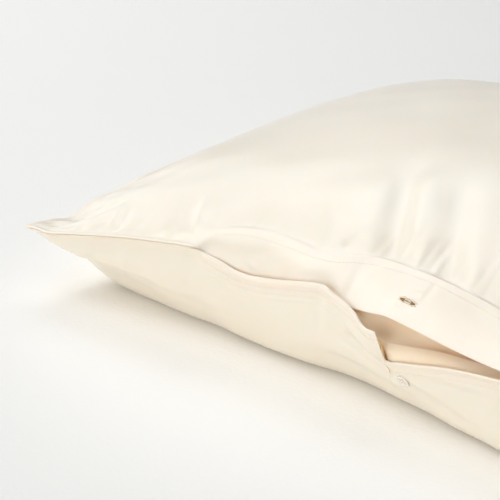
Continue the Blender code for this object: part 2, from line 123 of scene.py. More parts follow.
# The rim along the opening: its height, how far it stands out from the wall's own line, how far
# its upper edge curls outward on top of that, and the trough just below the edge.
RIM = table(("along", "height", "out", "curl", "trough"), (
    (-129, 90, 0, 0, 0), (-115, 86.6, 0.6, 0.4, 0), (-99, 83.6, 0.9, 0.6, 0),
    (-86, 80.5, 1, 1, 0.1), (-73, 79.6, 1, 1, 0.2), (-58, 81.3, 1, 1, 0.2),
    (-43, 83.9, 1, 1, 0.2), (-23, 88.5, 1, 1, 0.1), (-5, 92.3, 1.2, 0.8, 0),
    (3, 93.5, 1.5, 1, 0), (17.5, 89.2, 2.5, 1.5, 0), (32, 85, 4, 2.5, 0), (39.5, 82, 5, 3.5, 0),
    (46, 77, 6, 4.5, 0), (52, 75.2, 6.5, 5.5, 0), (57.5, 75.8, 7, 5.5, 0),
    (61.5, 74.5, 7, 5, 0), (63.4, 69.5, 6.8, 3.5, 0), (64.8, 60.5, 6, 1, 0.2),
    (66.2, 53, 4.5, 0.5, 0.4), (69, 51.2, 4, 0.5, 0.6), (77, 53.4, 4, 0.5, 0.9),
    (93, 58.2, 4.5, 0.7, 1.3), (123, 66.8, 5, 1, 2.2), (147, 71.8, 5, 1.5, 2.4),
    (168, 75.3, 4.5, 1.5, 2), (186, 79, 1.5, 0.5, 0.6), (200, 82, 0, 0, 0),
))
RIM_FADE = 40 * MM
CURL_REACH = 13 * MM
TROUGH_BELOW = 5.5 * MM
TROUGH_WIDTH = 3.2 * MM
HEM_EDGE_ROLL = 1.0 * MM    # a soft ridge just below the edge
HEM_EDGE_BELOW = 2.4 * MM
HEM_EDGE_WIDTH = 2.3 * MM
ROLL_BACK = 2.6 * MM        # of the rim's upper edge, from the mouth's left end to the lobe
ROLL_REACH = 6 * MM
ROLL_END = 66 * MM
ROLL_FADE = 12 * MM
HEM_LINES = ((8.0, 1.2, 0.9), (14.5, 1.6, 0.8), (20.5, 1.8, 0.5))   # below, half width, depth
HEM_LINES_END = 25 * MM
HEM_DEPTH = 13 * MM
HEM_STEP = 2 * MM           # over which its three layers thin out to one

# Folds of the wall below the rim, from one end to the other in X and height: how high each
# stands out (or sinks in, below 0), and its half width on the left and on the right.
WALL_CREASES = (
    (-131, 90, -138, 40, -0.9, 5, 8), (-1, 92, -3, 40, -1.0, 3.5, 5),
    (9, 92, 6, 30, 0.8, 5, 5), (22, 56, 54, 43, -2.6, 5, 6),
    (48, 46, 92, 27, -3.0, 5, 6), (86, 29, 150, 13, -2.2, 6, 7),
    (30, 72, 62, 44, 2.6, 7, 7), (86, 44, 168, 53, -1.6, 7, 7),
    (80, 50, 165, 62, 1.2, 6, 6), (-242, 74, -262, 40, 0.8, 5, 4),
    (-225, 76, -252, 28, -0.7, 4, 5), (-193, 84, -222, 14, 0.9, 5, 4),
    (-176, 84, -196, 20, -0.5, 8, 8), (-100, 60, -108, 18, 0.7, 12, 10),
    (-60, 58, -66, 12, -0.6, 12, 12), (-30, 60, -34, 16, 0.6, 10, 10),
    (225, 76, 240, 26, -0.8, 6, 6), (258, 72, 262, 34, 0.8, 6, 6),
)


def along(rows, name, x):
    """A smooth curve through one column of a table of stations along X, all in millimetres."""
    stations, values = rows["along"], rows[name]
    slopes = np.gradient(values, stations)
    x = np.asarray(x) / MM
    i = np.clip(np.searchsorted(stations, x) - 1, 0, len(stations) - 2)
    step = stations[i + 1] - stations[i]
    t = np.clip((x - stations[i]) / step, 0, 1)
    start = (1 + 2 * t) * (1 - t) ** 2 * values[i] + t * (1 - t) ** 2 * step * slopes[i]
    end = t * t * (3 - 2 * t) * values[i + 1] + t * t * (t - 1) * step * slopes[i + 1]
    return (start + end) * MM


def rise(t, start, end):
    """A smooth step from 0 at the start to 1 at the end."""
    t = np.clip((t - start) / (end - start), 0, 1)
    return t * t * (3 - 2 * t)


def hump(t, middle, width):
    """1 in the middle, and falling away smoothly on both sides."""
    return np.exp(-((t - middle) / width) ** 2)


def surge(t):
    """0 at the start, 1 at t = 1, and fading out slowly past it."""
    return t * np.exp(1 - t)


def mouth_share(x):
    """0 where the seam is sewn shut, 1 where the two hems are free."""
    left = rise(x, MOUTH_LEFT, MOUTH_LEFT + MOUTH_BLEND)
    return left * rise(x, MOUTH_RIGHT, MOUTH_RIGHT - MOUTH_BLEND)


def plan(u, v):
    """Where a place on the flat case, from -1 to 1 each way, lies on the filled one."""
    x = u * (HALF_SIDE - SIDE_DRAW_IN * (1 - v * v))
    y = v * (HALF_SIDE - FRONT_DRAW_IN * (1 - u * u))
    return x, y


def seam_height(u, v):
    """Height of the level at which the two panels meet."""
    corner = np.where(np.asarray(v) < 0, FRONT_CORNER_HEIGHT, BACK_CORNER_HEIGHT)
    level = SEAM_HEIGHT - (SEAM_HEIGHT - corner) * (u * v) ** 2
    x, y = plan(u, v)
    level = level + along(FRONT, "seam_shift", x) * np.clip(-v, 0, 1) ** 4
    return level - along(SIDE, "sag", y) * np.clip(-u, 0, 1) ** 5


def fullness(u, v):
    """0 on the seam, 1 in the middle of the case."""
    share = (1 - np.abs(u) ** CROWN_SHAPE) * (1 - np.abs(v) ** CROWN_SHAPE)
    from_corner = (1 - np.abs(u)) ** 2 + (1 - np.abs(v)) ** 2
    ear = 1 - EAR_SLIMMING * np.exp(-from_corner / EAR_REACH ** 2)
    return ear * np.clip(share, 0, 1) ** CROWN_ROUNDNESS


def bottom_surface(u, v):
    """The outside of the back panel: wall and underside in one."""
    x, y = plan(u, v)
    z = seam_height(u, v) - LIP_ROOT - LIP_GAP / 2
    z = z - WALL_DEPTH * fullness(u, v) ** WALL_BULGE
    start, risen, falling, end = FOOT_PLACES
    lifted = rise(v, start, risen) * rise(v, end, falling) * rise(1 - np.abs(u), 0, FOOT_SIDE_FADE)
    z = z + along(FRONT, "foot_lift", x) * lifted
    away = np.hypot(1 - np.abs(u), 1 - np.abs(v)) * HALF_SIDE
    inward = np.minimum(1 - np.abs(u), 1 - np.abs(v))
    ear = hump(away, EAR_LIFT_PLACE, EAR_LIFT_WIDTH) * rise(inward, 0, EAR_LIFT_FADE)
    z = z + EAR_LIFT * ear
    rounded = (z + FLOOR_BLEND) ** 2 / (4 * FLOOR_BLEND)
    z = np.where(z > FLOOR_BLEND, z, np.where(z > -FLOOR_BLEND, rounded, 0.0))
    return np.stack([x, y, z], axis=-1)


def creases(rows, a, b):
    """Height of a set of soft folds at the places (a, b).

    Each fades in from a little before its first end and out from its middle past the other.
    """
    total = np.zeros(np.broadcast(a, b).shape)
    for from_a, from_b, to_a, to_b, height, left, right in rows:
        run_a, run_b = to_a - from_a, to_b - from_b
        length = math.hypot(run_a, run_b)
        away_a, away_b = a / MM - from_a, b / MM - from_b
        t = (away_a * run_a + away_b * run_b) / length ** 2
        across = (away_a * run_b - away_b * run_a) / length
        width = np.where(across * np.sign(run_b) < 0, left, right)
        total += height * rise(t, -0.15, 0.2) * rise(t, 1.15, 0.5) * hump(across, 0, width)
    return total * MM


PUCKER_WAVES = ((31, 1.0, 1.0, 0), (19, 0.8, 2.1, 1), (53, 0.6, 0.7, 2))
BACK_PUCKERS = (0.5 * MM, 9 * MM)       # height, and how far from the seam they reach


def seam_puckers(distance, place, height, reach, phase):
    """Small uneven puckers beside a sewn line: distance from it, and place along it.

    They are a sum of waves, each with its length, its size, its turn by the phase and its shift.
    """
    waves = sum(size * np.sin(2 * math.pi * place / (length * MM) + turn * phase + shift)
                for length, size, turn, shift in PUCKER_WAVES)
    near = distance / reach
    return height * waves * near * np.exp(1 - near * 1.6)


def grid_normals(grid):
    """Unit normals of a grid of points, up where columns run towards +X and rows towards +Y."""
    normal = np.cross(np.gradient(grid, axis=0), np.gradient(grid, axis=1))
    return normal / np.maximum(np.linalg.norm(normal, axis=-1, keepdims=True), 1e-12)


# Columns of both panels along X: from, to, step, and the power that packs them outward. The
# first zone is repeated at the other end.
COLUMN_ZONES = (
    (-305, -278, 1.7, 1.8), (-278, 24, 2.0, 1.0), (24, 58, 1.1, 1.0), (58, 69, 0.4, 1.0),
    (69, 82, 0.7, 1.0), (82, 170, 2.2, 1.0), (170, 278, 4.5, 1.0),
)


def zone(start, end, step, power):
    count = round((end - start) / step)
    return start + (end - start) * (np.arange(count + 1) / count) ** power


zones = [zone(*row)[:-1] for row in COLUMN_ZONES] + [-zone(*COLUMN_ZONES[0])[::-1]]
COLUMNS = np.concatenate(zones) * MM
FREE = mouth_share(COLUMNS)[:, None]

# Rings of rows and columns round a panel's border, from the tip of the lip, or from a free
# edge, inwards: how far out each lies, where it is in the lip's cloth, and how far down a hem.
LIP_OUT = np.array([4.2, 3.8, 2.8, 0.0, 0.0]) * MM
LIP_OUTER = np.array([0.5, 0.88, 1.0, LIP_ROOT / LIP_CLOTH, LIP_ROOT / LIP_CLOTH])
LIP_INNER = np.array([0.5, 0.12, 0.0, 0.0, 0.0])
EDGE_STEPS = np.array([0.0, 0.25, 0.75, 1.4]) * MM
EDGE_ROUND = np.array([0.5, 0.16, 0.0, 0.0, 0.0])
RINGS = 4
MOSTLY_SEWN = 0.5           # shares of the mouth under which a panel's inside keeps off the other
WHOLLY_SEWN = 0.01
ROWS_BY_SEAM = 60


def closed_panel(points, v, side, thick):
    """Outer and inner grids of a panel with the sewn lip round it; side is 1 for the front.

    The first RINGS rows of points are its free edge, used where the opening isn't sewn, and the
    last RINGS rows are there to be replaced. v is the plan position of every row.
    """
    extra = RINGS - 1
    columns = np.concatenate([[0] * extra, np.arange(len(points)), [len(points) - 1] * extra])
    points, v, thick = points[columns], v[columns], thick[columns]
    u = (COLUMNS / HALF_SIDE)[columns][:, None]
    free = FREE[columns]
    i = np.arange(points.shape[0])[:, None]
    j = np.arange(points.shape[1])[None, :]
    ring_x = np.minimum(np.minimum(i, i[::-1]), RINGS)
    ring_y = np.minimum(np.minimum(j, j[:, ::-1]), RINGS)
    ring = np.minimum(ring_x, ring_y)
    at_front = j < RINGS

    x, y = plan(u, v)
    seam = seam_height(u, v) + side * LIP_GAP / 2
    x = x + np.where(i < RINGS, -1, 1) * LIP_OUT[ring_x]
    y = y + np.where(at_front, -1, 1) * LIP_OUT[ring_y]
    lip_outer = np.stack([x, y, seam + side * LIP_CLOTH * LIP_OUTER[ring]], axis=-1)
    lip_inner = np.stack([x, y, seam + side * LIP_CLOTH * LIP_INNER[ring]], axis=-1)

    sewn = np.where(ring < RINGS, np.where(at_front & (ring_x == RINGS), 1 - free, 1.0), 0.0)
    surface = points * (1 - sewn[..., None]) + lip_outer * sewn[..., None]
    normal = side * grid_normals(surface)
    rounding = np.where(at_front, EDGE_ROUND[np.minimum(j, RINGS)], 0.0)
    outer = surface - normal * (thick * rounding * (1 - sewn))[..., None]
    inner = surface - normal * (thick * (1 - rounding))[..., None]
    body = ((~at_front) & (ring == RINGS) & (free < MOSTLY_SEWN)) | (free < WHOLLY_SEWN)
    crossed = body & (side * (inner[..., 2] - seam) < 0) & (j < ROWS_BY_SEAM)
    inner[..., 2] = np.where(crossed, seam, inner[..., 2])
    inner = inner * (1 - sewn[..., None]) + lip_inner * sewn[..., None]
    return outer, inner


def finished_object(name, mesh, finishes):
    """An object at the origin for a mesh, with its materials."""
    for finish in finishes:
        mesh.materials.append(finish)
    made = bpy.data.objects.new(name, mesh)
    bpy.context.scene.collection.objects.link(made)
    return made


def run_along(points, axis=0):
    """Distance from the first point along a line of points, or along one way of a grid."""
    steps = np.linalg.norm(np.diff(points, axis=axis), axis=-1)
    return np.insert(np.cumsum(steps, axis=axis), 0, 0.0, axis=axis)


def points_at(where, run, points):
    """The points at given distances along a line."""
    return np.stack([np.interp(where, run, points[:, k]) for k in range(3)], axis=-1)


def sheet_object(name, outer, inner, finishes, cut_out=None, merged=False):
    """One closed sheet between two grids, with a flat map of its cloth, in metres, as its UVs.

    The first finish is for the right side and the turned edges, the last for the wrong side.
    """
    columns, rows = outer.shape[:2]
    count = columns * rows
    keep = np.ones((columns - 1, rows - 1), bool) if cut_out is None else ~cut_out
    corner = (np.arange(columns - 1)[:, None] * rows + np.arange(rows - 1)[None, :])[keep]
    cells = np.stack([corner, corner + rows, corner + rows + 1, corner + 1], axis=1)
    sides = np.concatenate([cells[:, [k, (k + 1) % 4]] for k in range(4)])
    keys = sides[:, 0] * count + sides[:, 1]
    twins = sides[:, 1] * count + sides[:, 0]
    rim = sides[~np.isin(keys, twins)]
    walls = np.stack([rim[:, 1], rim[:, 0], rim[:, 0] + count, rim[:, 1] + count], axis=1)
    faces = np.concatenate([cells, cells[:, ::-1] + count, walls])
    points = np.concatenate([outer.reshape(-1, 3), inner.reshape(-1, 3)])

    mesh = bpy.data.meshes.new(name)
    mesh.from_pydata(points, [], faces)
    wrong_side = np.zeros((columns - 1, rows - 1), np.int32)
    wrong_side[RINGS:-RINGS, RINGS:-RINGS] = len(finishes) - 1
    finish_of = np.zeros(len(faces), np.int32)
    finish_of[len(cells):2 * len(cells)] = wrong_side[keep]
    mesh.polygons.foreach_set("material_index", finish_of)
    across = run_along(outer)
    across -= across[columns // 2]
    flat = np.stack([across, run_along(outer, axis=1)], axis=-1).reshape(-1, 2)
    flat = np.concatenate([flat, flat])
    layer = mesh.uv_layers.new(name="cloth")
    layer.data.foreach_set("uv", flat[faces.ravel()].astype(np.float32).ravel())
    mesh.shade_smooth()
    shell = bmesh.new()
    shell.from_mesh(mesh)
    loose = [vert for vert in shell.verts if not vert.link_faces]
    bmesh.ops.delete(shell, geom=loose, context="VERTS")
    if merged:
        bmesh.ops.remove_doubles(shell, verts=shell.verts, dist=0.02 * MM)
    shell.to_mesh(mesh)
    shell.free()
    return finished_object(name, mesh, finishes)


def linear(hex_colour):
    """A colour as Blender's nodes take it, from an sRGB hex value."""
    parts = [int(hex_colour[k:k + 2], 16) / 255 for k in (1, 3, 5)]
    return (*(c / 12.92 if c <= 0.04045 else ((c + 0.055) / 1.055) ** 2.4 for c in parts), 1.0)


def add_node(material, kind, settings, links=None):
    """Adds a shader node; links are its inputs by name or number, each (node, output)."""
    node = material.node_tree.nodes.new("ShaderNode" + kind)
    for name, value in settings.items():
        if isinstance(name, str) and hasattr(node, name):
            setattr(node, name, value)
        else:
            node.inputs[name].default_value = value
    for name, (source, output) in (links or {}).items():
        material.node_tree.links.new(source.outputs[output], node.inputs[name])
    return node


def new_material(name):
    """A material whose node tree is still empty."""
    made = bpy.data.materials.new(name)
    made.use_nodes = True
    made.node_tree.nodes.clear()
    return made


# Satin is woven of fine filament yarn with long floats, so it is smooth and has a soft broad
# sheen. The weave is far too fine to see: it is drawn nine times as coarse, and faint, with the
# yarn's slubs along it. Pale clouds of tone, about 110 mm across, come from handling.
IVORY = "#F1E2CC"
IVORY_PALE = "#F4E9D7"
THROUGH_CLOTH = (1.0, 0.62, 0.34)       # how far red, green and blue light spread in it
YARN_PITCH = 0.9 * MM       # real yarn is about 0.1 mm
WEAVE_SCALE = math.sqrt(2) * math.pi / 10 / YARN_PITCH      # one diagonal rib to each yarn
SLUB_WIDTH = 2 * YARN_PITCH
SLUB_LENGTH = 14 * MM
WEAVE = {"wave_type": "BANDS", "bands_direction": "DIAGONAL", "Scale": WEAVE_SCALE,
         "Distortion": 0.6}

satin = new_material("ivory satin weave")
cloth_map = add_node(satin, "UVMap", {"uv_map": "cloth"})
slub_scale = add_node(
    satin, "Mapping", {"Scale": (1 / SLUB_WIDTH, 1 / SLUB_LENGTH, 1)},
    {"Vector": (cloth_map, "UV")})
slubs = add_node(
    satin, "TexNoise", {"Scale": 1.0},
    {"Vector": (slub_scale, "Vector")})
weave = add_node(satin, "TexWave", {**WEAVE, "Detail": 1.0}, {"Vector": (cloth_map, "UV")})
satin_place = add_node(satin, "TexCoord", {})
mottle = add_node(
    satin, "TexNoise", {"Scale": 1 / (111 * MM), "Detail": 3.0, "Roughness": 0.55},
    {"Vector": (satin_place, "Object")})
tint = add_node(
    satin, "Mix", {"data_type": "RGBA", 6: linear(IVORY), 7: linear(IVORY_PALE)},
    {0: (mottle, "Fac")})
grain = add_node(
    satin, "Math", {"operation": "MULTIPLY_ADD", 1: 0.25}, {0: (weave, "Fac"), 2: (slubs, "Fac")})
satin_bump = add_node(
    satin, "Bump", {"Strength": 0.06, "Distance": 0.2 * MM}, {"Height": (grain, 0)})
satin_shader = add_node(
    satin, "BsdfPrincipled",
    {"Roughness": 0.34, "Metallic": 0.0, "IOR": 1.5, "Specular IOR Level": 0.85,
     "Sheen Weight": 0.3, "Sheen Roughness": 0.35, "Subsurface Weight": 0.25,
     "Subsurface Radius": THROUGH_CLOTH, "Subsurface Scale": 1.2 * MM},
    {"Base Color": (tint, 2), "Normal": (satin_bump, "Normal")})
add_node(satin, "OutputMaterial", {}, {"Surface": (satin_shader, 0)})

# The wrong side of satin shows the warp's short floats: it is matt, and a little deeper in colour.
# The strong orange given here is painted warm shade for the inside of the case.
satin_back_and_warm_shade = new_material("ivory satin weave, wrong side, painted warm shade")
back_map = add_node(satin_back_and_warm_shade, "UVMap", {"uv_map": "cloth"})
back_weave = add_node(satin_back_and_warm_shade, "TexWave", WEAVE, {"Vector": (back_map, "UV")})
back_bump = add_node(
    satin_back_and_warm_shade, "Bump", {"Strength": 0.1, "Distance": 0.2 * MM}, {"Height": (back_weave, "Fac")})
# Painted shade: the orange base colour stands in for the warm shade inside the case.
back_shader = add_node(
    satin_back_and_warm_shade, "BsdfPrincipled",
    {"Base Color": linear("#FBCE8C"), "Roughness": 0.7, "Subsurface Weight": 0.35,
     "Subsurface Radius": THROUGH_CLOTH, "Subsurface Scale": 2 * MM},
    {"Normal": (back_bump, "Normal")})
add_node(satin_back_and_warm_shade, "OutputMaterial", {}, {"Surface": (back_shader, 0)})


HEM_ROWS = np.concatenate([[2.2], np.arange(3.2, 22, 1.05)]) * MM
BELOW_RIM = np.concatenate([EDGE_STEPS, HEM_ROWS])     # below the rim's edge
WALL_SHARES = np.linspace(0, 1, 36)[1:]
WALL_REACH = 0.1
WALL_POINTS = 70
RISE_ROOM = 30 * MM         # above the seam's line, for the rim to rise into
RELIEF_STARTS = 3 * MM      # heights between which folds and puckers grow off the floor
RELIEF_WHOLE = 17 * MM
FLOOR_PLACES = np.concatenate([np.linspace(-0.885, -0.8, 6), np.linspace(-0.76, 0.76, 9),
                               np.linspace(0.8, 0.885, 5)])
BACK_WALL_PLACES = 1 - WALL_REACH * np.linspace(1, 0.06, 16) ** 2


def back_panel_column(x):
    """The back panel down one column: its rim or seam, wall, underside and back wall."""
    u = x / HALF_SIDE
    free = mouth_share(x)
    v = -1 + WALL_REACH * np.linspace(0, 1, WALL_POINTS) ** 2
    wall = bottom_surface(u, v)
    wall = np.concatenate([wall[:1] + [[0, 0, RISE_ROOM]], wall])
    wall_v = np.concatenate([v[:1], v])
    run = run_along(wall)
    rim_run = float(np.interp(-along(RIM, "height", x), -wall[:, 2], run))
    start = RISE_ROOM + (rim_run - RISE_ROOM) * free
    hem_end = BELOW_RIM[-1]
    left = run[-1] - start - hem_end
    down = np.concatenate([BELOW_RIM, hem_end + left * WALL_SHARES])
    front = points_at(start + down, run, wall)
    front_v = np.interp(start + down, run, wall_v)
    bulge = along(RIM, "out", x) * rise(down, RIM_FADE, 0)
    bulge += along(RIM, "curl", x) * np.clip(1 - down / CURL_REACH, 0, 1) ** 1.6
    bulge -= along(RIM, "trough", x) * hump(down, TROUGH_BELOW, TROUGH_WIDTH)
    bulge += HEM_EDGE_ROLL * hump(down, HEM_EDGE_BELOW, HEM_EDGE_WIDTH)
    rolled = rise(x, ROLL_END, ROLL_END - ROLL_FADE)
    bulge -= ROLL_BACK * rolled * np.clip(1 - down / ROLL_REACH, 0, 1) ** 2
    for line_below, half_width, depth in HEM_LINES:
        bulge -= depth * MM * rise(x, HEM_LINES_END, 0) * hump(down / MM, line_below, half_width)
    front[:, 1] -= bulge * free
    rest_v = np.concatenate([FLOOR_PLACES, BACK_WALL_PLACES, [1.0] * RINGS])
    return np.concatenate([front, bottom_surface(u, rest_v)]), np.concatenate([front_v, rest_v])


strips = [back_panel_column(x) for x in COLUMNS]
back_points = np.array([points for points, v in strips])
back_v = np.array([v for points, v in strips])
back_v[:, :RINGS] = -1.0
wall_end = RINGS + len(HEM_ROWS) + len(WALL_SHARES)
run_x, run_y, run_z = np.moveaxis(back_points, -1, 0)
relief = creases(WALL_CREASES, run_x, run_z)
relief[:, wall_end:] = 0.0
from_side = (1 - np.abs(COLUMNS / HALF_SIDE))[:, None] * HALF_SIDE
relief += seam_puckers((1 - back_v) * HALF_SIDE, run_x, *BACK_PUCKERS, 1.7)
relief += seam_puckers(from_side, run_y, *BACK_PUCKERS, 0.4)
relief *= rise(run_z, RELIEF_STARTS, RELIEF_WHOLE)
back_points = back_points - grid_normals(back_points) * relief[..., None]
back_thick = np.full(back_v.shape, SATIN)
hem_rows = RINGS + len(HEM_ROWS)
in_hem = rise(BELOW_RIM, HEM_DEPTH, HEM_DEPTH - HEM_STEP)
back_thick[:, :hem_rows] += (HEM - SATIN) * in_hem * FREE
outer, inner = closed_panel(back_points, back_v, -1, back_thick)
back_outer = outer[RINGS - 1:1 - RINGS]
back_panel = sheet_object("back_panel_cloth", outer[::-1], inner[::-1], (satin, satin_back_and_warm_shade))
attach(back_panel, "root")
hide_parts("bottom_panel")


# -------- front panel
# The front panel is the other square of satin. Its edge at the opening is turned in to a wide
# hem of two layers, the band, which the crown's cloth puckers into, and it is sewn to the back
# panel round the other sides and at both ends of the opening.


def top_surface(u, v):
    """The outside of the front panel: the crown, without the band's own puff."""
    x, y = plan(u, v)
    z = seam_height(u, v) + (CROWN_HEIGHT - SEAM_HEIGHT) * fullness(u, v)
    return np.stack([x, y, z + LIP_ROOT + LIP_GAP / 2], axis=-1)


BAND_CLOTH = 1.2 * MM
BAND_WIDTH = 50 * MM
BAND_BACK_SEWN = 24 * MM
BAND = table(("along", "edge_height", "edge_in", "back", "puff", "step"), (
    (-129, 90, 0, 14, 1, 0.2), (-115, 84, 1.6, 22, 2.4, 1),
    (-99, 78, 1.6, 28, 3.4, 1.3), (-80, 72, 2.4, 31.5, 4, 1.4),
    (-62, 71, 5.5, 32, 3.8, 1.4), (-44, 73, 4, 31, 4, 1.3),
    (-20, 77, 1.2, 29, 3.8, 1.2), (0, 80, 3.4, 32, 3.4, 1.2),
    (12, 80.5, 0.5, 37, 2.8, 1.3), (28, 81.5, -0.2, 42, 2.4, 1.2),
    (42, 83, -0.5, 43.5, 2.8, 1.8), (62, 85.5, -0.5, 44, 3, 2),
    (80, 84.5, -1, 44, 3, 2.1), (102, 82.5, -1.5, 43.5, 2.8, 2.1),
    (132, 80.1, -1.5, 42.5, 2.6, 2.1), (165, 78.8, -0.5, 39, 2.4, 1.8),
    (186, 80, 0, 33, 1.6, 1), (200, 82, 0, 26, 1, 0),
))

BUTTONHOLE_LEFT = 66 * MM
BUTTONHOLE_LENGTH = 15 * MM
BUTTONHOLE_OPENING = 3.4 * MM
SLIT_CLOSED = 0.35 * MM     # half the slit where its edges meet
SEWN_SLIT = 0.01            # half the slit's share of the band where the panels are sewn

CROWN_CREASES = (
    (-11, -246, -68, -165, 0.6, 8, 8), (16, -244, -36, -120, 1.4, 15, 13),
    (42, -242, -16, -130, -3.4, 15, 11), (52, -238, -2, -120, 1.4, 10, 13),
    (92, -244, 34, -125, -2.1, 13, 10), (106, -238, 56, -120, 1.2, 10, 13),
    (-5, -241, 6, -222, -1.6, 5, 7), (60, -238, 52, -204, 0.9, 5, 5),
    (76, -240, 70, -216, 0.9, 5, 5), (112, -242, 104, -216, 0.8, 5, 6),
    (140, -244, 132, -190, 0.6, 9, 9), (158, -246, 176, -196, -0.8, 8, 8),
    (-134, -272, -160, -232, 1.8, 4, 8), (-148, -272, -182, -222, -0.9, 7, 8),
    (-228, -280, -244, -244, 1.8, 3.0, 5), (-216, -286, -230, -254, -1.2, 4, 5),
    (-214, -285, -186, -281, 0.9, 4, 5), (-244, -293, -262, -274, 0.9, 5, 5),
    (-270, -296, -276, -268, -0.7, 6, 6), (-60, -246, -120, -170, 0.8, 16, 18),
    (-92, -250, -150, -190, -0.6, 14, 14), (240, -280, 205, -215, 1.4, 10, 12),
    (262, -262, 220, -190, -1.0, 12, 12), (266, -236, 200, -150, 1.0, 14, 12),
    (-262, 262, -200, 190, 1.2, 12, 14), (-240, 276, -180, 220, -1.0, 10, 12),
    (262, 262, 196, 196, 1.3, 12, 14), (272, 230, 214, 160, -1.0, 12, 14),
    (-276, -230, -214, -150, -0.9, 12, 14), (-270, -200, -200, -110, 0.9, 14, 14),
)
BAND_CREASES = (            # in X and in distance from the free edge
    (-52, 4, -58, 24, 0.8, 7, 10), (-74, 10, -66, 26, -1.1, 9, 7),
    (-30, 8, -46, 30, 0.9, 6, 12), (22, 2, 20, 40, -0.5, 4, 5),
    (34, 4, 36, 38, 0.4, 5, 5), (84, 22, 86, 46, -0.6, 1.6, 2.2),
    (66, 20.5, 80, 21.5, 0.8, 1.6, 1.6), (64, 24, 82, 25, -0.6, 1.6, 1.8),
    (68, 28, 80, 29, 0.5, 1.6, 1.8), (66, 11.5, 82, 10.5, -0.5, 1.8, 2.0),
    (100, 6, 140, 12, 0.5, 6, 6), (120, 34, 165, 30, -0.5, 6, 6),
)

BAND_SHARES = np.concatenate([np.linspace(0.05, 0.31, 15), [0.33, 0.365, 0.365, 0.4],
                              np.linspace(0.425, 0.92, 19), [0.945, 0.965, 0.982, 1.0]])
SLIT_ROW = RINGS + 16       # the row below the slit
STEP_ROWS = np.array([0.5, 1.0, 1.6, 2.3, 3.2, 4.2, 5.4, 6.8, 8.4, 10.2]) * MM
NEAR_ROWS = np.arange(12.4, 112, 2.6) * MM
FAR_SHARES = np.linspace(0, 1, 34)[1:] ** 0.82
FAR_END = 0.997
SHOULDER = 0.75             # how far the band's last millimetres stand up, in steps
SHOULDER_EDGE = 1.1 * MM
SHOULDER_REACH = 9 * MM
STEP_REACH = 8.5 * MM       # of the dip in the crown behind the band's seam
GATHERS = ((13, 1.0, 0.7), (21, 1.0, 2.0), (8.3, 0.7, 0.0))     # length, size, shift
GATHER_SIZE = 0.08
GATHER_REACH = 10 * MM
SIDE_PUCKERS = (0.7 * MM, 14 * MM)      # height and reach, at the sides and the back
FRONT_PUCKERS = (0.5 * MM, 10 * MM)
CROWN_FOLDS_START = 10 * MM
BORDER = 8 * MM             # the relief starts from nothing along the seams
CROWN_WAVES = ((0.5, 74, 0.0), (1.35, 97, 1.1), (2.2, 61, 2.6), (2.9, 120, 4.0))
WAVE_HEIGHT = 0.28 * MM     # each wave of the crown has a turn in radians, a length and a shift
CORNER_RAYS = ((-1, -1, 0.3), (1, -1, 1.4), (-1, 1, 2.2), (1, 1, 3.9))
RAY_HEIGHT = 0.55 * MM
RAY_PLACE = 62 * MM
RAY_WIDTH = 34 * MM


def front_panel_columns(x):
    """The front panel in all columns: its free edge or seam, the band, and the crown behind."""
    x = x[:, None]
    u = x / HALF_SIDE
    free = mouth_share(x)
    back = BAND_BACK_SEWN + (along(BAND, "back", x) - BAND_BACK_SEWN) * free
    band_v = -1 + back / HALF_SIDE
    edge_shares = EDGE_STEPS / BAND_WIDTH
    shares = np.concatenate([edge_shares, BAND_SHARES])[None, :] + 0 * x
    slit = np.clip((x - BUTTONHOLE_LEFT) / BUTTONHOLE_LENGTH, 0, 1)
    half_open = (SLIT_CLOSED + BUTTONHOLE_OPENING / 2 * np.sin(math.pi * slit)) / BAND_WIDTH
    shares[:, SLIT_ROW:SLIT_ROW + 1] -= half_open
    shares[:, SLIT_ROW + 1:SLIT_ROW + 2] += half_open
    sewn_shares = np.concatenate([0 * edge_shares, BAND_SHARES])[None, :] + 0 * x
    sewn_shares[:, SLIT_ROW] -= SEWN_SLIT
    sewn_shares[:, SLIT_ROW + 1] += SEWN_SLIT
    sewn_v = -1 + (band_v + 1) * sewn_shares
    sewn = top_surface(u + 0 * sewn_v, sewn_v)

    hem_seam = top_surface(u, band_v)
    edge_y = -(HALF_SIDE - FRONT_DRAW_IN * (1 - u ** 2)) + along(BAND, "edge_in", x)
    edge = np.stack([x, edge_y, along(BAND, "edge_height", x)], axis=-1)
    width = np.linalg.norm(hem_seam - edge, axis=-1)
    slope = (hem_seam - edge) / width[..., None]
    out = np.stack([0 * x, -slope[..., 2], slope[..., 1]], axis=-1)
    puff = along(BAND, "puff", x) * np.sin(math.pi * shares)
    puff = puff + creases(BAND_CREASES, x + 0 * shares, shares * width)
    from_seam = (1 - shares) * width
    shoulder = (1 - np.exp(-from_seam / SHOULDER_EDGE)) * np.exp(-from_seam / SHOULDER_REACH)
    puff += SHOULDER * along(BAND, "step", x) * shoulder
    free_band = edge + (hem_seam - edge) * shares[..., None] + out * puff[..., None]
    band = sewn + (free_band - sewn) * free[..., None]

    near_v = band_v + np.concatenate([STEP_ROWS, NEAR_ROWS]) / HALF_SIDE
    far_v = near_v[:, -1:] + (FAR_END - near_v[:, -1:]) * FAR_SHARES
    crown_v = np.concatenate([near_v, far_v], axis=1)
    crown = top_surface(u + 0 * crown_v, crown_v)
    behind = (crown_v - band_v) * HALF_SIDE
    step = along(BAND, "step", x) * free
    gather = sum(size * np.sin(x / MM * 2 * math.pi / length + shift)
                 for length, size, shift in GATHERS)
    crown[..., 2] -= step * surge(behind / STEP_REACH)
    crown[..., 2] += GATHER_SIZE * step * gather * surge(behind / GATHER_REACH)

    ring_v = np.ones((len(x), RINGS))
    points = np.concatenate([band, crown, top_surface(u + 0 * ring_v, ring_v)], axis=1)
    return points, np.concatenate([sewn_v, crown_v, ring_v], axis=1)


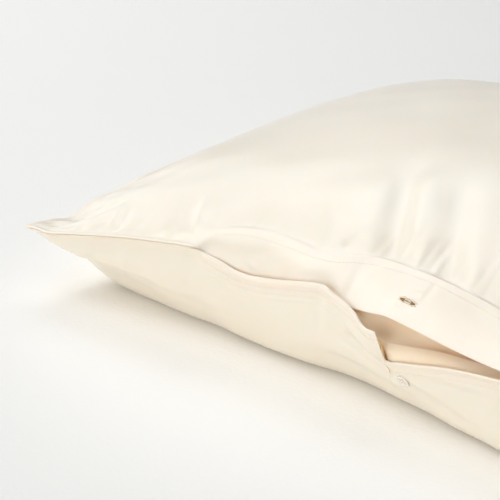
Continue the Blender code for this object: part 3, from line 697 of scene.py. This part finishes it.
front_points, front_v = front_panel_columns(COLUMNS)
front_v[:, :RINGS] = -1.0
run_x, run_y = front_points[..., 0], front_points[..., 1]
from_front = (front_v + 1) * HALF_SIDE
from_back = (1 - front_v) * HALF_SIDE
band_rows = RINGS + len(BAND_SHARES)
on_crown = rise(from_front, 0, CROWN_FOLDS_START)
relief = creases(CROWN_CREASES, run_x, run_y) * on_crown
relief[:, :band_rows] *= 1 - FREE
relief += seam_puckers(from_back, run_x, *SIDE_PUCKERS, 0.9)
relief += seam_puckers(from_side, run_y, *SIDE_PUCKERS, 2.3)
sewn_front = (1 - mouth_share(run_x)) * (front_v > -1)
relief += seam_puckers(from_front, run_x, *FRONT_PUCKERS, 0.2) * sewn_front
for turn, length, shift in CROWN_WAVES:
    wave = (run_x * math.cos(turn) + run_y * math.sin(turn)) / MM
    relief += WAVE_HEIGHT * np.sin(wave * 2 * math.pi / length + shift) * on_crown
for corner_x, corner_y, turn in CORNER_RAYS:
    away_x = HALF_SIDE - corner_x * run_x
    away_y = HALF_SIDE - corner_y * run_y
    bearing = np.arctan2(away_y, away_x)
    rays = np.sin(bearing * 13 + turn) + 0.7 * np.sin(bearing * 21 + 2 * turn)
    relief += RAY_HEIGHT * rays * hump(np.hypot(away_x, away_y), RAY_PLACE, RAY_WIDTH)
relief *= rise(from_side, 0, BORDER) * rise(from_back, 0, BORDER)
front_points = front_points + grid_normals(front_points) * relief[..., None]

front_thick = np.full(front_v.shape, SATIN)
front_thick[:, :band_rows] += (BAND_CLOTH - SATIN) * FREE
outer, inner = closed_panel(front_points, front_v, 1, front_thick)
slit_cells = np.zeros((outer.shape[0] - 1, outer.shape[1] - 1), bool)
in_slit = (COLUMNS[:-1] > BUTTONHOLE_LEFT) & (COLUMNS[1:] < BUTTONHOLE_LEFT + BUTTONHOLE_LENGTH)
slit_cells[RINGS - 1:1 - RINGS, SLIT_ROW] = in_slit
front_panel = sheet_object("front_panel_cloth", outer, inner, (satin, satin_back_and_warm_shade), slit_cells)
front_outer = outer[RINGS - 1:1 - RINGS]
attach(front_panel, "root")
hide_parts("top_panel")


# -------- pillow
# The pillow is a cotton cover, sewn shut all round and stuffed. Only its edge shows, in the
# mouth of the case, with the seam where its two halves meet.

# At stations along X: how far in from the seams' line the pillow's seam lies, how high, and the
# power by which its upper half rises from there (under 1 is steep, over 1 is hollow).
PILLOW = table(("along", "seam_in", "seam_height", "power"), (
    (-129, 8, 82, 0.5), (-60, 8, 73, 0.5), (12, -4, 80, 0.45), (30, -6, 77, 0.45),
    (45, -4, 69.5, 0.5), (60, 2, 62.8, 0.85), (74, 6.5, 62.5, 1.2), (104, 8, 67.8, 1.4),
    (137, 8, 71.7, 1.4), (165, 8, 74.3, 1.3), (200, 8, 77, 0.8),
))
PILLOW_PLAN = 0.975         # its plan against the case's
PILLOW_SEAM_START = 0.955   # share of the way out where its faces turn to the seam
MOUTH_ROWS = (-0.8, -0.92)  # in v, between which the mouth's own shape takes over
SEAM_PULL = 26 * MM         # how far in its front seam, and each half behind it, is shaped
UPPER_REACH = 28 * MM
LOWER_REACH = 40 * MM
LOWER_WHOLE = 20 * MM
PILLOW_CROWN_CLEARANCE = 2.2 * MM
PILLOW_WALL_CLEARANCE = 5.0 * MM
PILLOW_FLOOR_CLEARANCE = SATIN + 0.4 * MM
PILLOW_SEAM_DROP = 7.5 * MM
PILLOW_NEAREST = 2.4 * MM   # to the outside of either panel

# Under its seam the pillow swells out into the mouth: distance along its face from the seam, and
# how far forward of the seam and how far down that is.
SWELL = np.array([
    (0, 0, 0), (1.5, 0.8, 0.6), (4, 3.0, 2.0), (7, 5.6, 4.2), (10, 7.4, 7.2), (14, 8.4, 11.5),
    (19, 8.4, 17.5), (26, 7.0, 26), (36, 5.0, 38),
]) * MM


def inside(surface, side, u, v):
    """The pillow's face under one panel."""
    step = 1e-4
    across = surface(u + step, v) - surface(u - step, v)
    down = surface(u, v + step) - surface(u, v - step)
    normal = np.cross(across, down)
    normal /= np.linalg.norm(normal, axis=-1, keepdims=True)
    base = surface(u, v)
    if side > 0:
        return base - normal * PILLOW_CROWN_CLEARANCE
    on_floor = base[..., 2:] < 0.5 * MM
    raised = base + normal * PILLOW_WALL_CLEARANCE
    return np.where(on_floor, base + np.array([0, 0, PILLOW_FLOOR_CLEARANCE]), raised)


# Its columns and rows stand closer together towards its borders.
pillow_u = np.linspace(-1, 1, 141)
pillow_u = np.sign(pillow_u) * (1 - (1 - np.abs(pillow_u)) ** 1.25) * PILLOW_PLAN
v_back = 1 - np.linspace(1, 0, 36) ** 2 * 0.8
v_rows = np.concatenate([-v_back[::-1], np.linspace(-0.15, 0.15, 7), v_back]) * PILLOW_PLAN
U, V = np.meshgrid(pillow_u, v_rows, indexing="ij")
pillow_x = plan(U, V)[0]
seam_z = seam_height(U, V) - PILLOW_SEAM_DROP
border = np.maximum(np.abs(U), np.abs(V)) / PILLOW_PLAN
open_here = mouth_share(pillow_x) * rise(V, *MOUTH_ROWS)
front_y = -(HALF_SIDE - FRONT_DRAW_IN * (1 - (pillow_x / HALF_SIDE) ** 2))
line_y = front_y + along(PILLOW, "seam_in", pillow_x)
line_z = along(PILLOW, "seam_height", pillow_x)
power = along(PILLOW, "power", pillow_x) / MM
depth_in = np.clip((V / PILLOW_PLAN + 1) * HALF_SIDE, 0, None)      # from its own front seam
near = open_here * rise(depth_in, LOWER_REACH, LOWER_WHOLE)
halves = []
for side, surface in ((1, top_surface), (-1, bottom_surface)):
    face = inside(surface, side, U, V)
    face[..., 2] += (seam_z - face[..., 2]) * rise(border, PILLOW_SEAM_START, 1)
    face[..., 1] += (line_y - front_y * PILLOW_PLAN) * open_here * hump(depth_in, 0, SEAM_PULL)
    if side > 0:
        near_z = line_z + (face[..., 2] - line_z) * np.clip(depth_in / UPPER_REACH, 0, 1) ** power
    else:
        near_z = line_z - np.interp(depth_in, SWELL[:, 0], SWELL[:, 2])
        swell_y = line_y - np.interp(depth_in, SWELL[:, 0], SWELL[:, 1])
        face[..., 1] += (swell_y - face[..., 1]) * near
    face[..., 2] += (near_z - face[..., 2]) * near
    for strip, strip_v in zip(face, V):
        column = int(np.argmin(np.abs(COLUMNS - strip[1, 0])))
        y, z = strip[:, 1], strip[:, 2]
        if side > 0:
            over = front_points[column, 1:-RINGS]
            held_z = np.interp(y, over[:, 1], over[:, 2]) - PILLOW_NEAREST
            z[:] = np.where(y > over[0, 1], np.minimum(z, held_z), z)
        wall = back_points[column, :wall_end][::-1]
        held_y = np.interp(z, wall[:, 2], wall[:, 1]) + PILLOW_NEAREST
        y[:] = np.where((strip_v < -0.5) & (z > RELIEF_STARTS), np.maximum(y, held_y), y)
    halves.append(face)
on_border = (border > 0.9999)[..., None]
pillow_top, pillow_bottom = (np.where(on_border, sum(halves) / 2, half) for half in halves)

# Pillow cotton is a plain cloth of spun yarn, washed soft: matt, with a faint grain of threads,
# drawn about three times as coarse as real, and small clouds of tone where it is rubbed.
cotton = new_material("pillow cotton")
cotton_place = add_node(cotton, "TexCoord", {})
cotton_weave = add_node(
    cotton, "TexNoise", {"Scale": 1 / (1.11 * MM)},
    {"Vector": (cotton_place, "Object")})
cotton_soft = add_node(
    cotton, "TexNoise", {"Scale": 1 / (22.2 * MM)},
    {"Vector": (cotton_place, "Object")})
cotton_tint = add_node(
    cotton, "Mix", {"data_type": "RGBA", 6: linear("#FBE1C0"), 7: linear("#FDEAD0")},
    {0: (cotton_soft, "Fac")})
cotton_bump = add_node(
    cotton, "Bump", {"Strength": 0.15, "Distance": 0.3 * MM}, {"Height": (cotton_weave, "Fac")})
cotton_shader = add_node(
    cotton, "BsdfPrincipled",
    {"Roughness": 0.85, "Sheen Weight": 0.1, "Subsurface Weight": 0.4,
     "Subsurface Radius": (1.0, 0.6, 0.35), "Subsurface Scale": 6 * MM},
    {"Base Color": (cotton_tint, 2), "Normal": (cotton_bump, "Normal")})
add_node(cotton, "OutputMaterial", {}, {"Surface": (cotton_shader, 0)})
pillow = sheet_object("pillow_body", pillow_top, pillow_bottom, (cotton,), merged=True)
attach(pillow, "root")
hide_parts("pillow")


# -------- stitching
# Both hems are sewn by machine with ivory polyester thread: one row of lockstitch under the rim
# of the back panel, and one just below the band's seam on the front panel.

THREAD_RADIUS = 0.2 * MM
STITCH_LENGTH = 2.5 * MM
STITCH_PITCH = 3.1 * MM
STITCH_RISE = 0.1 * MM
HEM_STITCHES_BELOW = 11.2 * MM
BAND_STITCHES_BELOW = 8.5 * MM
STITCH_START = -120 * MM
STITCH_END = 192 * MM


def at(grid, column, row):
    """A point of a grid at a column and row that need not be whole numbers."""
    column, row = np.asarray(column, float), np.asarray(row, float)
    i = np.clip(column.astype(int), 0, grid.shape[0] - 2)
    j = np.clip(row.astype(int), 0, grid.shape[1] - 2)
    a, b = (column - i)[..., None], (row - j)[..., None]
    low = grid[i, j] * (1 - a) + grid[i + 1, j] * a
    high = grid[i, j + 1] * (1 - a) + grid[i + 1, j + 1] * a
    return low * (1 - b) + high * b


def tube(path, radii, sides=6):
    """Points and faces of a closed tube of thread along a path, with a radius at each point."""
    ahead = np.gradient(path, axis=0)
    ahead /= np.linalg.norm(ahead, axis=1, keepdims=True)
    helper = np.eye(3)[np.argmin(np.abs(ahead).max(axis=0))]
    first = np.cross(ahead, helper)
    first /= np.linalg.norm(first, axis=1, keepdims=True)
    second = np.cross(ahead, first)
    turn = np.arange(sides) * 2 * math.pi / sides
    ring = first[:, None] * np.cos(turn)[:, None] + second[:, None] * np.sin(turn)[:, None]
    points = (path[:, None] + ring * np.asarray(radii)[:, None, None]).reshape(-1, 3)
    faces = []
    for k in range(len(path) - 1):
        for n in range(sides):
            m = (n + 1) % sides
            faces.append((k * sides + n, k * sides + m, (k + 1) * sides + m, (k + 1) * sides + n))
    faces.append(tuple(range(sides))[::-1])
    faces.append(tuple((len(path) - 1) * sides + n for n in range(sides)))
    return points, faces


def thread_object(name, tubes, finish):
    """One object of many short tubes of thread."""
    points, faces = [], []
    for tube_points, tube_faces in tubes:
        base = len(points)
        points.extend(map(tuple, tube_points))
        faces.extend(tuple(base + n for n in face) for face in tube_faces)
    mesh = bpy.data.meshes.new(name)
    mesh.from_pydata(points, [], faces)
    mesh.shade_smooth()
    return finished_object(name, mesh, (finish,))


def stitch_row(line, normal):
    """Lockstitches along a line of points: each rises from one needle hole and dips at the next."""
    run = run_along(line)
    tubes = []
    share = np.array([0.0, 0.15, 0.5, 0.85, 1.0])
    for start in np.arange(0, run[-1] - STITCH_LENGTH, STITCH_PITCH):
        spots = start + share * STITCH_LENGTH
        rises = (np.sin(math.pi * share) * 2 - 1) * STITCH_RISE
        path = points_at(spots, run, line) + points_at(spots, run, normal) * rises[:, None]
        tubes.append(tube(path, THREAD_RADIUS * np.array([0.6, 1, 1, 1, 0.6])))
    return tubes


def hem_line(grid, side, edge_row, rows, distance):
    """A line on a grid's first rows that keeps a distance from one of them, with its normals."""
    wanted = np.flatnonzero((COLUMNS > STITCH_START) & (COLUMNS < STITCH_END))
    strip = grid[wanted][:, :rows]
    run = run_along(strip, axis=1)
    run = np.abs(run - run[:, edge_row:edge_row + 1])
    order = slice(None) if edge_row == 0 else slice(None, None, -1)
    places = np.arange(strip.shape[1])[order]
    row = np.array([np.interp(distance, run[k][order], places) for k in range(len(wanted))])
    normals = side * grid_normals(strip)
    columns = np.arange(len(wanted))
    return at(strip, columns, row), at(normals, columns, row)


# Sewing thread is spun polyester, a little glossier than cotton, with its twist as a fine bump.
thread = new_material("ivory polyester sewing thread")
thread_place = add_node(thread, "TexCoord", {})
thread_twist = add_node(
    thread, "TexNoise", {"Scale": 1 / (0.4 * MM)}, {"Vector": (thread_place, "Object")})
thread_bump = add_node(
    thread, "Bump", {"Strength": 0.4, "Distance": 0.1 * MM}, {"Height": (thread_twist, "Fac")})
thread_shader = add_node(
    thread, "BsdfPrincipled", {"Base Color": linear("#F3E6CF"), "Roughness": 0.45},
    {"Normal": (thread_bump, "Normal")})
add_node(thread, "OutputMaterial", {}, {"Surface": (thread_shader, 0)})

for name, *line in (
        ("rim_stitching", back_outer, -1, 0, hem_rows, HEM_STITCHES_BELOW),
        ("band_stitching", front_outer, 1, band_rows - 1, band_rows, BAND_STITCHES_BELOW)):
    stitches = thread_object(name, stitch_row(*hem_line(*line)), thread)
    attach(stitches, "root")


# -------- buttonhole thread
# The buttonhole is a slit through both layers of the band. A machine has sewn its edges over
# with close short stitches, and each end with a bar.

BEAD_WIDTH = 1.5 * MM
BEAD_PITCH = 0.42 * MM
BEAD_RADIUS = 0.24 * MM
BEAD_START = 0.05 * MM      # from the slit's edge
BEAD_RISE = 0.34 * MM
BEAD_SINK = 0.16 * MM
END_BAR = 0.8 * MM          # how far the stitches go on past each end of the slit

tubes = []
front_normals = grid_normals(front_outer)
ends = BUTTONHOLE_LEFT + np.array([-END_BAR, BUTTONHOLE_LENGTH + END_BAR])
slit_start, slit_end = np.interp(ends, COLUMNS, np.arange(len(COLUMNS)))
share = np.array([0.0, 0.2, 0.5, 0.8, 1.0])
for column in np.linspace(slit_start, slit_end, round((ends[1] - ends[0]) / BEAD_PITCH)):
    for row, away in ((SLIT_ROW, -1), (SLIT_ROW + 1, 1)):
        edge_point = at(front_outer, column, row)
        across = at(front_outer, column, row + away) - edge_point
        across /= np.linalg.norm(across)
        rises = np.sin(math.pi * share) * BEAD_RISE - BEAD_SINK
        path = (edge_point + across * (share * BEAD_WIDTH + BEAD_START)[:, None]
                + at(front_normals, column, row) * rises[:, None])
        tubes.append(tube(path, BEAD_RADIUS * np.array([0.8, 1, 1, 1, 0.7]), 5))
buttonhole = thread_object("buttonhole_thread", tubes, thread)
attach(buttonhole, "root")


# -------- button
# The button is moulded of pearly resin, with a raised edge, a dished middle and four holes. It
# is sewn to the back panel below the rim with two bars of thread.

BUTTON_ALONG = 79 * MM
BUTTON_HEIGHT = 35 * MM
BUTTON_RADIUS = 5.75 * MM
BUTTON_BACK = 0.8           # its flat back against its whole width
BUTTON_THICKNESS = 2.4 * MM
BUTTON_TURN = math.radians(24)
BUTTON_GAP = 0.35 * MM
HOLE_RADIUS = 0.8 * MM
HOLE_PITCH = 1.3 * MM
HOLES = ((-1, -1), (-1, 1), (1, -1), (1, 1))
BUTTON_STEPS = (            # each ring up from the last, and its size against the last
    (0.5, 1.16), (0.7, 1.05), (0.7, 0.985), (0.35, 0.93), (0.1, 0.88), (-0.3, 0.9), (-0.35, 0.9),
    (-0.05, 0.9),
)

# It faces the way that the wall does, evened over about its own width.
wall = back_outer[:, RINGS:wall_end]
column = int(np.argmin(np.abs(COLUMNS - BUTTON_ALONG)))
row = int(np.argmin(np.abs(wall[column, :, 2] - BUTTON_HEIGHT)))
spot = Vector(wall[column, row])
facing = Vector((-grid_normals(wall))[column - 12:column + 13, row - 5:row + 6].mean(axis=(0, 1)))
facing.normalize()
button_place = (Matrix.Translation(spot + facing * BUTTON_GAP)
                @ facing.to_track_quat("Z", "Y").to_matrix().to_4x4()
                @ Matrix.Rotation(BUTTON_TURN, 4, "Z"))

bpy.ops.mesh.primitive_circle_add(vertices=56, radius=BUTTON_RADIUS * BUTTON_BACK,
                                  fill_type="NGON")
button = bpy.context.object
button.name = "pearl_button"
bpy.ops.object.mode_set(mode="EDIT")
for height, size in BUTTON_STEPS:
    bpy.ops.mesh.extrude_region_move(TRANSFORM_OT_translate={"value": (0, 0, height * MM)})
    bpy.ops.transform.resize(value=(size, size, 1), center_override=(0, 0, 0))
bpy.ops.mesh.select_all(action="SELECT")
bpy.ops.mesh.normals_make_consistent(inside=False)
bpy.ops.object.mode_set(mode="OBJECT")
for across, up in HOLES:
    bpy.ops.mesh.primitive_cylinder_add(vertices=20, radius=HOLE_RADIUS, depth=3 * BUTTON_THICKNESS,
                                        location=(across * HOLE_PITCH, up * HOLE_PITCH, 0))
    drill = bpy.context.object
    cut = button.modifiers.new("hole", "BOOLEAN")
    cut.operation = "DIFFERENCE"
    cut.solver = "EXACT"
    cut.object = drill
    bpy.context.view_layer.objects.active = button
    bpy.ops.object.modifier_apply(modifier=cut.name)
    bpy.data.objects.remove(drill)
bpy.ops.object.select_all(action="DESELECT")
button.select_set(True)
bpy.context.view_layer.objects.active = button
bevel = button.modifiers.new("rounded edges", "BEVEL")
bevel.width = 0.12 * MM
bevel.segments = 2
bevel.limit_method = "ANGLE"
bevel.angle_limit = math.radians(28)
bpy.ops.object.modifier_apply(modifier=bevel.name)
bpy.ops.object.shade_smooth_by_angle(angle=math.radians(40))
button.data.transform(button_place)

# Pearl resin is polyester cast with fish-scale flakes: clouded, glossy, and whiter than the cloth.
pearl = new_material("pearl polyester resin, cast and polished")
pearl_place = add_node(pearl, "TexCoord", {})
pearl_cloud = add_node(
    pearl, "TexNoise", {"Scale": 1 / (2.38 * MM), "Detail": 3.0, "Distortion": 1.2},
    {"Vector": (pearl_place, "Object")})
pearl_tint = add_node(
    pearl, "Mix", {"data_type": "RGBA", 6: linear("#E6DACA"), 7: linear("#F7F1E6")},
    {0: (pearl_cloud, "Fac")})
pearl_shader = add_node(
    pearl, "BsdfPrincipled",
    {"Roughness": 0.2, "IOR": 1.55, "Coat Weight": 0.5, "Coat Roughness": 0.08},
    {"Base Color": (pearl_tint, 2)})
add_node(pearl, "OutputMaterial", {}, {"Surface": (pearl_shader, 0)})
button.data.materials.append(pearl)
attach(button, "root")
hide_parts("button")

BAR_RADIUS = 0.28 * MM
BAR_REACH = 1.15 * HOLE_PITCH
BAR_ARCH = 0.35 * MM
BAR_DIP = 1.3 * MM          # of its ends, into the holes
STRAND_PITCH = 0.3 * MM
DISH_HEIGHT = 1.55 * MM     # of the dished middle above the button's back
LEG_PLACE = 0.8 * HOLE_PITCH
LEG_HEIGHTS = (1.2 * MM, 0.3 * MM, -0.6 * MM)
LEG_RADIUS = 1.8 * BAR_RADIUS


def on_button(path):
    """A path of the sewing, turned and moved from the button's own frame to its place."""
    return np.array([button_place @ Vector(point) for point in path])


tubes = []
share = np.linspace(-1, 1, 9)
lift = DISH_HEIGHT + BAR_ARCH - BAR_DIP * np.abs(share) ** 6
for side in (-1, 1):
    for strand in (-1, 0, 1):
        up = side * HOLE_PITCH + strand * STRAND_PITCH
        path = on_button(np.stack([share * BAR_REACH, up + 0 * share, lift], axis=1))
        tubes.append(tube(path, BAR_RADIUS * np.ones(9)))
for across, up in HOLES:
    path = on_button([(across * LEG_PLACE, up * LEG_PLACE, z) for z in LEG_HEIGHTS])
    tubes.append(tube(path, LEG_RADIUS * np.ones(3)))
button_thread = thread_object("button_thread", tubes, thread)
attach(button_thread, "root")


# Each panel was cut about 65 cm square, the common size of a square case, with its hem's width
# added at the opening. The pillow pulls both tight.


# -------- floor, light and camera
# A pale floor of painted board, with a painted fall of light away from the case, nine soft boxes
# round the case, of which the strongest stand low at the front and high on the left, and a camera
# at the angle of the view.

PAINTED_LIGHT_MIDDLE = (0.0, -0.1, 0)
PAINTED_LIGHT_NEAR = 0.27           # distances from that middle between which the painted light falls off
PAINTED_LIGHT_FAR = 0.45

# Matt paint on board is even and without gloss. Its colour here is lighter near the case and a
# shade greyer away from it: this is painted light and its painted fall-off, not the board's own
# colour.
board = new_material("matt painted board, painted light falloff")
board_place = add_node(board, "TexCoord", {})
board_from_painted_light = add_node(
    board, "VectorMath", {"operation": "DISTANCE", 1: PAINTED_LIGHT_MIDDLE}, {0: (board_place, "Object")})
painted_falloff_share = add_node(
    board, "MapRange",
    {"From Min": PAINTED_LIGHT_NEAR, "From Max": PAINTED_LIGHT_FAR, "interpolation_type": "SMOOTHSTEP"},
    {"Value": (board_from_painted_light, "Value")})
# Painted light: the floor is coloured lighter near the case and greyer away from it.
board_painted_light = add_node(
    board, "Mix", {"data_type": "RGBA", 6: linear("#FBF8F1"), 7: linear("#F1EEE8")},
    {0: (painted_falloff_share, 0)})
board_grain = add_node(
    board, "TexNoise", {"Scale": 1 / (3.85 * MM), "Detail": 3.0},
    {"Vector": (board_place, "Object")})
board_bump = add_node(
    board, "Bump", {"Strength": 0.25, "Distance": 1.0 * MM}, {"Height": (board_grain, "Fac")})
board_shader = add_node(
    board, "BsdfPrincipled", {"Roughness": 0.9},
    {"Base Color": (board_painted_light, 2), "Normal": (board_bump, "Normal")})
add_node(board, "OutputMaterial", {}, {"Surface": (board_shader, 0)})
bpy.ops.mesh.primitive_plane_add(size=12, location=(0, 0, 0))
floor = bpy.context.object
floor.name = "floor"
floor.data.materials.append(board)

world = bpy.data.worlds.new("soft room")
bpy.context.scene.world = world
world.use_nodes = True
background = world.node_tree.nodes["Background"]
background.inputs["Color"].default_value = linear("#FFC480")
background.inputs["Strength"].default_value = 0.04


def direction(bearing, height):
    """Where a bearing, from the front towards +X, and a height point, both in degrees."""
    bearing, height = math.radians(bearing), math.radians(height)
    return Vector((math.sin(bearing) * math.cos(height), -math.cos(bearing) * math.cos(height),
                   math.sin(height)))


def aimed_object(name, data, middle, towards, distance):
    """A lamp or a camera at a distance from a middle, in one direction, and looking back at it."""
    made = bpy.data.objects.new(name, data)
    bpy.context.scene.collection.objects.link(made)
    made.location = middle + towards * distance
    made.rotation_euler = (-towards).to_track_quat("-Z", "Y").to_euler()
    return made


# The soft boxes: bearing and height in degrees, and power in watts.
LIGHT_CENTRE = Vector((-0.1, -0.25, 0.1))
LIGHT_DISTANCE = 3.6
LIGHT_SIZE = 2.1
LIGHTS = (
    ("overhead", 0, 85, 19.0),
    ("back left, low", -110, 18, 20.0),
    ("behind left, low", -150, 18, 9.3),
    ("back left", -135, 55, 41.5),
    ("behind", 180, 55, 8.6),
    ("left", -60, 55, 44.5),
    ("right", 60, 55, 20.0),
    ("front left, low", -35, 14, 21.0),
    ("front, low", 5, 14, 62.0),
)
for name, bearing, height, power in LIGHTS:
    lamp = bpy.data.lights.new(name, "AREA")
    lamp.shape = "SQUARE"
    lamp.size = LIGHT_SIZE
    lamp.energy = power
    lamp.color = linear("#F4F9FF")[:3]
    aimed_object(name, lamp, LIGHT_CENTRE, direction(bearing, height), LIGHT_DISTANCE)

CAMERA_BEARING = 40.09
CAMERA_HEIGHT = 23.86
CAMERA_DISTANCE = 0.98639
FIELD_OF_VIEW = 22.13
CAMERA_TARGET = Vector((-0.04733, -0.305, 0.11725))
lens = bpy.data.cameras.new("camera")
lens.angle = math.radians(FIELD_OF_VIEW)
lens.clip_start = 0.01
bpy.context.scene.camera = aimed_object(
    "camera", lens, CAMERA_TARGET, direction(CAMERA_BEARING, CAMERA_HEIGHT), CAMERA_DISTANCE)
bpy.context.scene.view_settings.view_transform = "Standard"
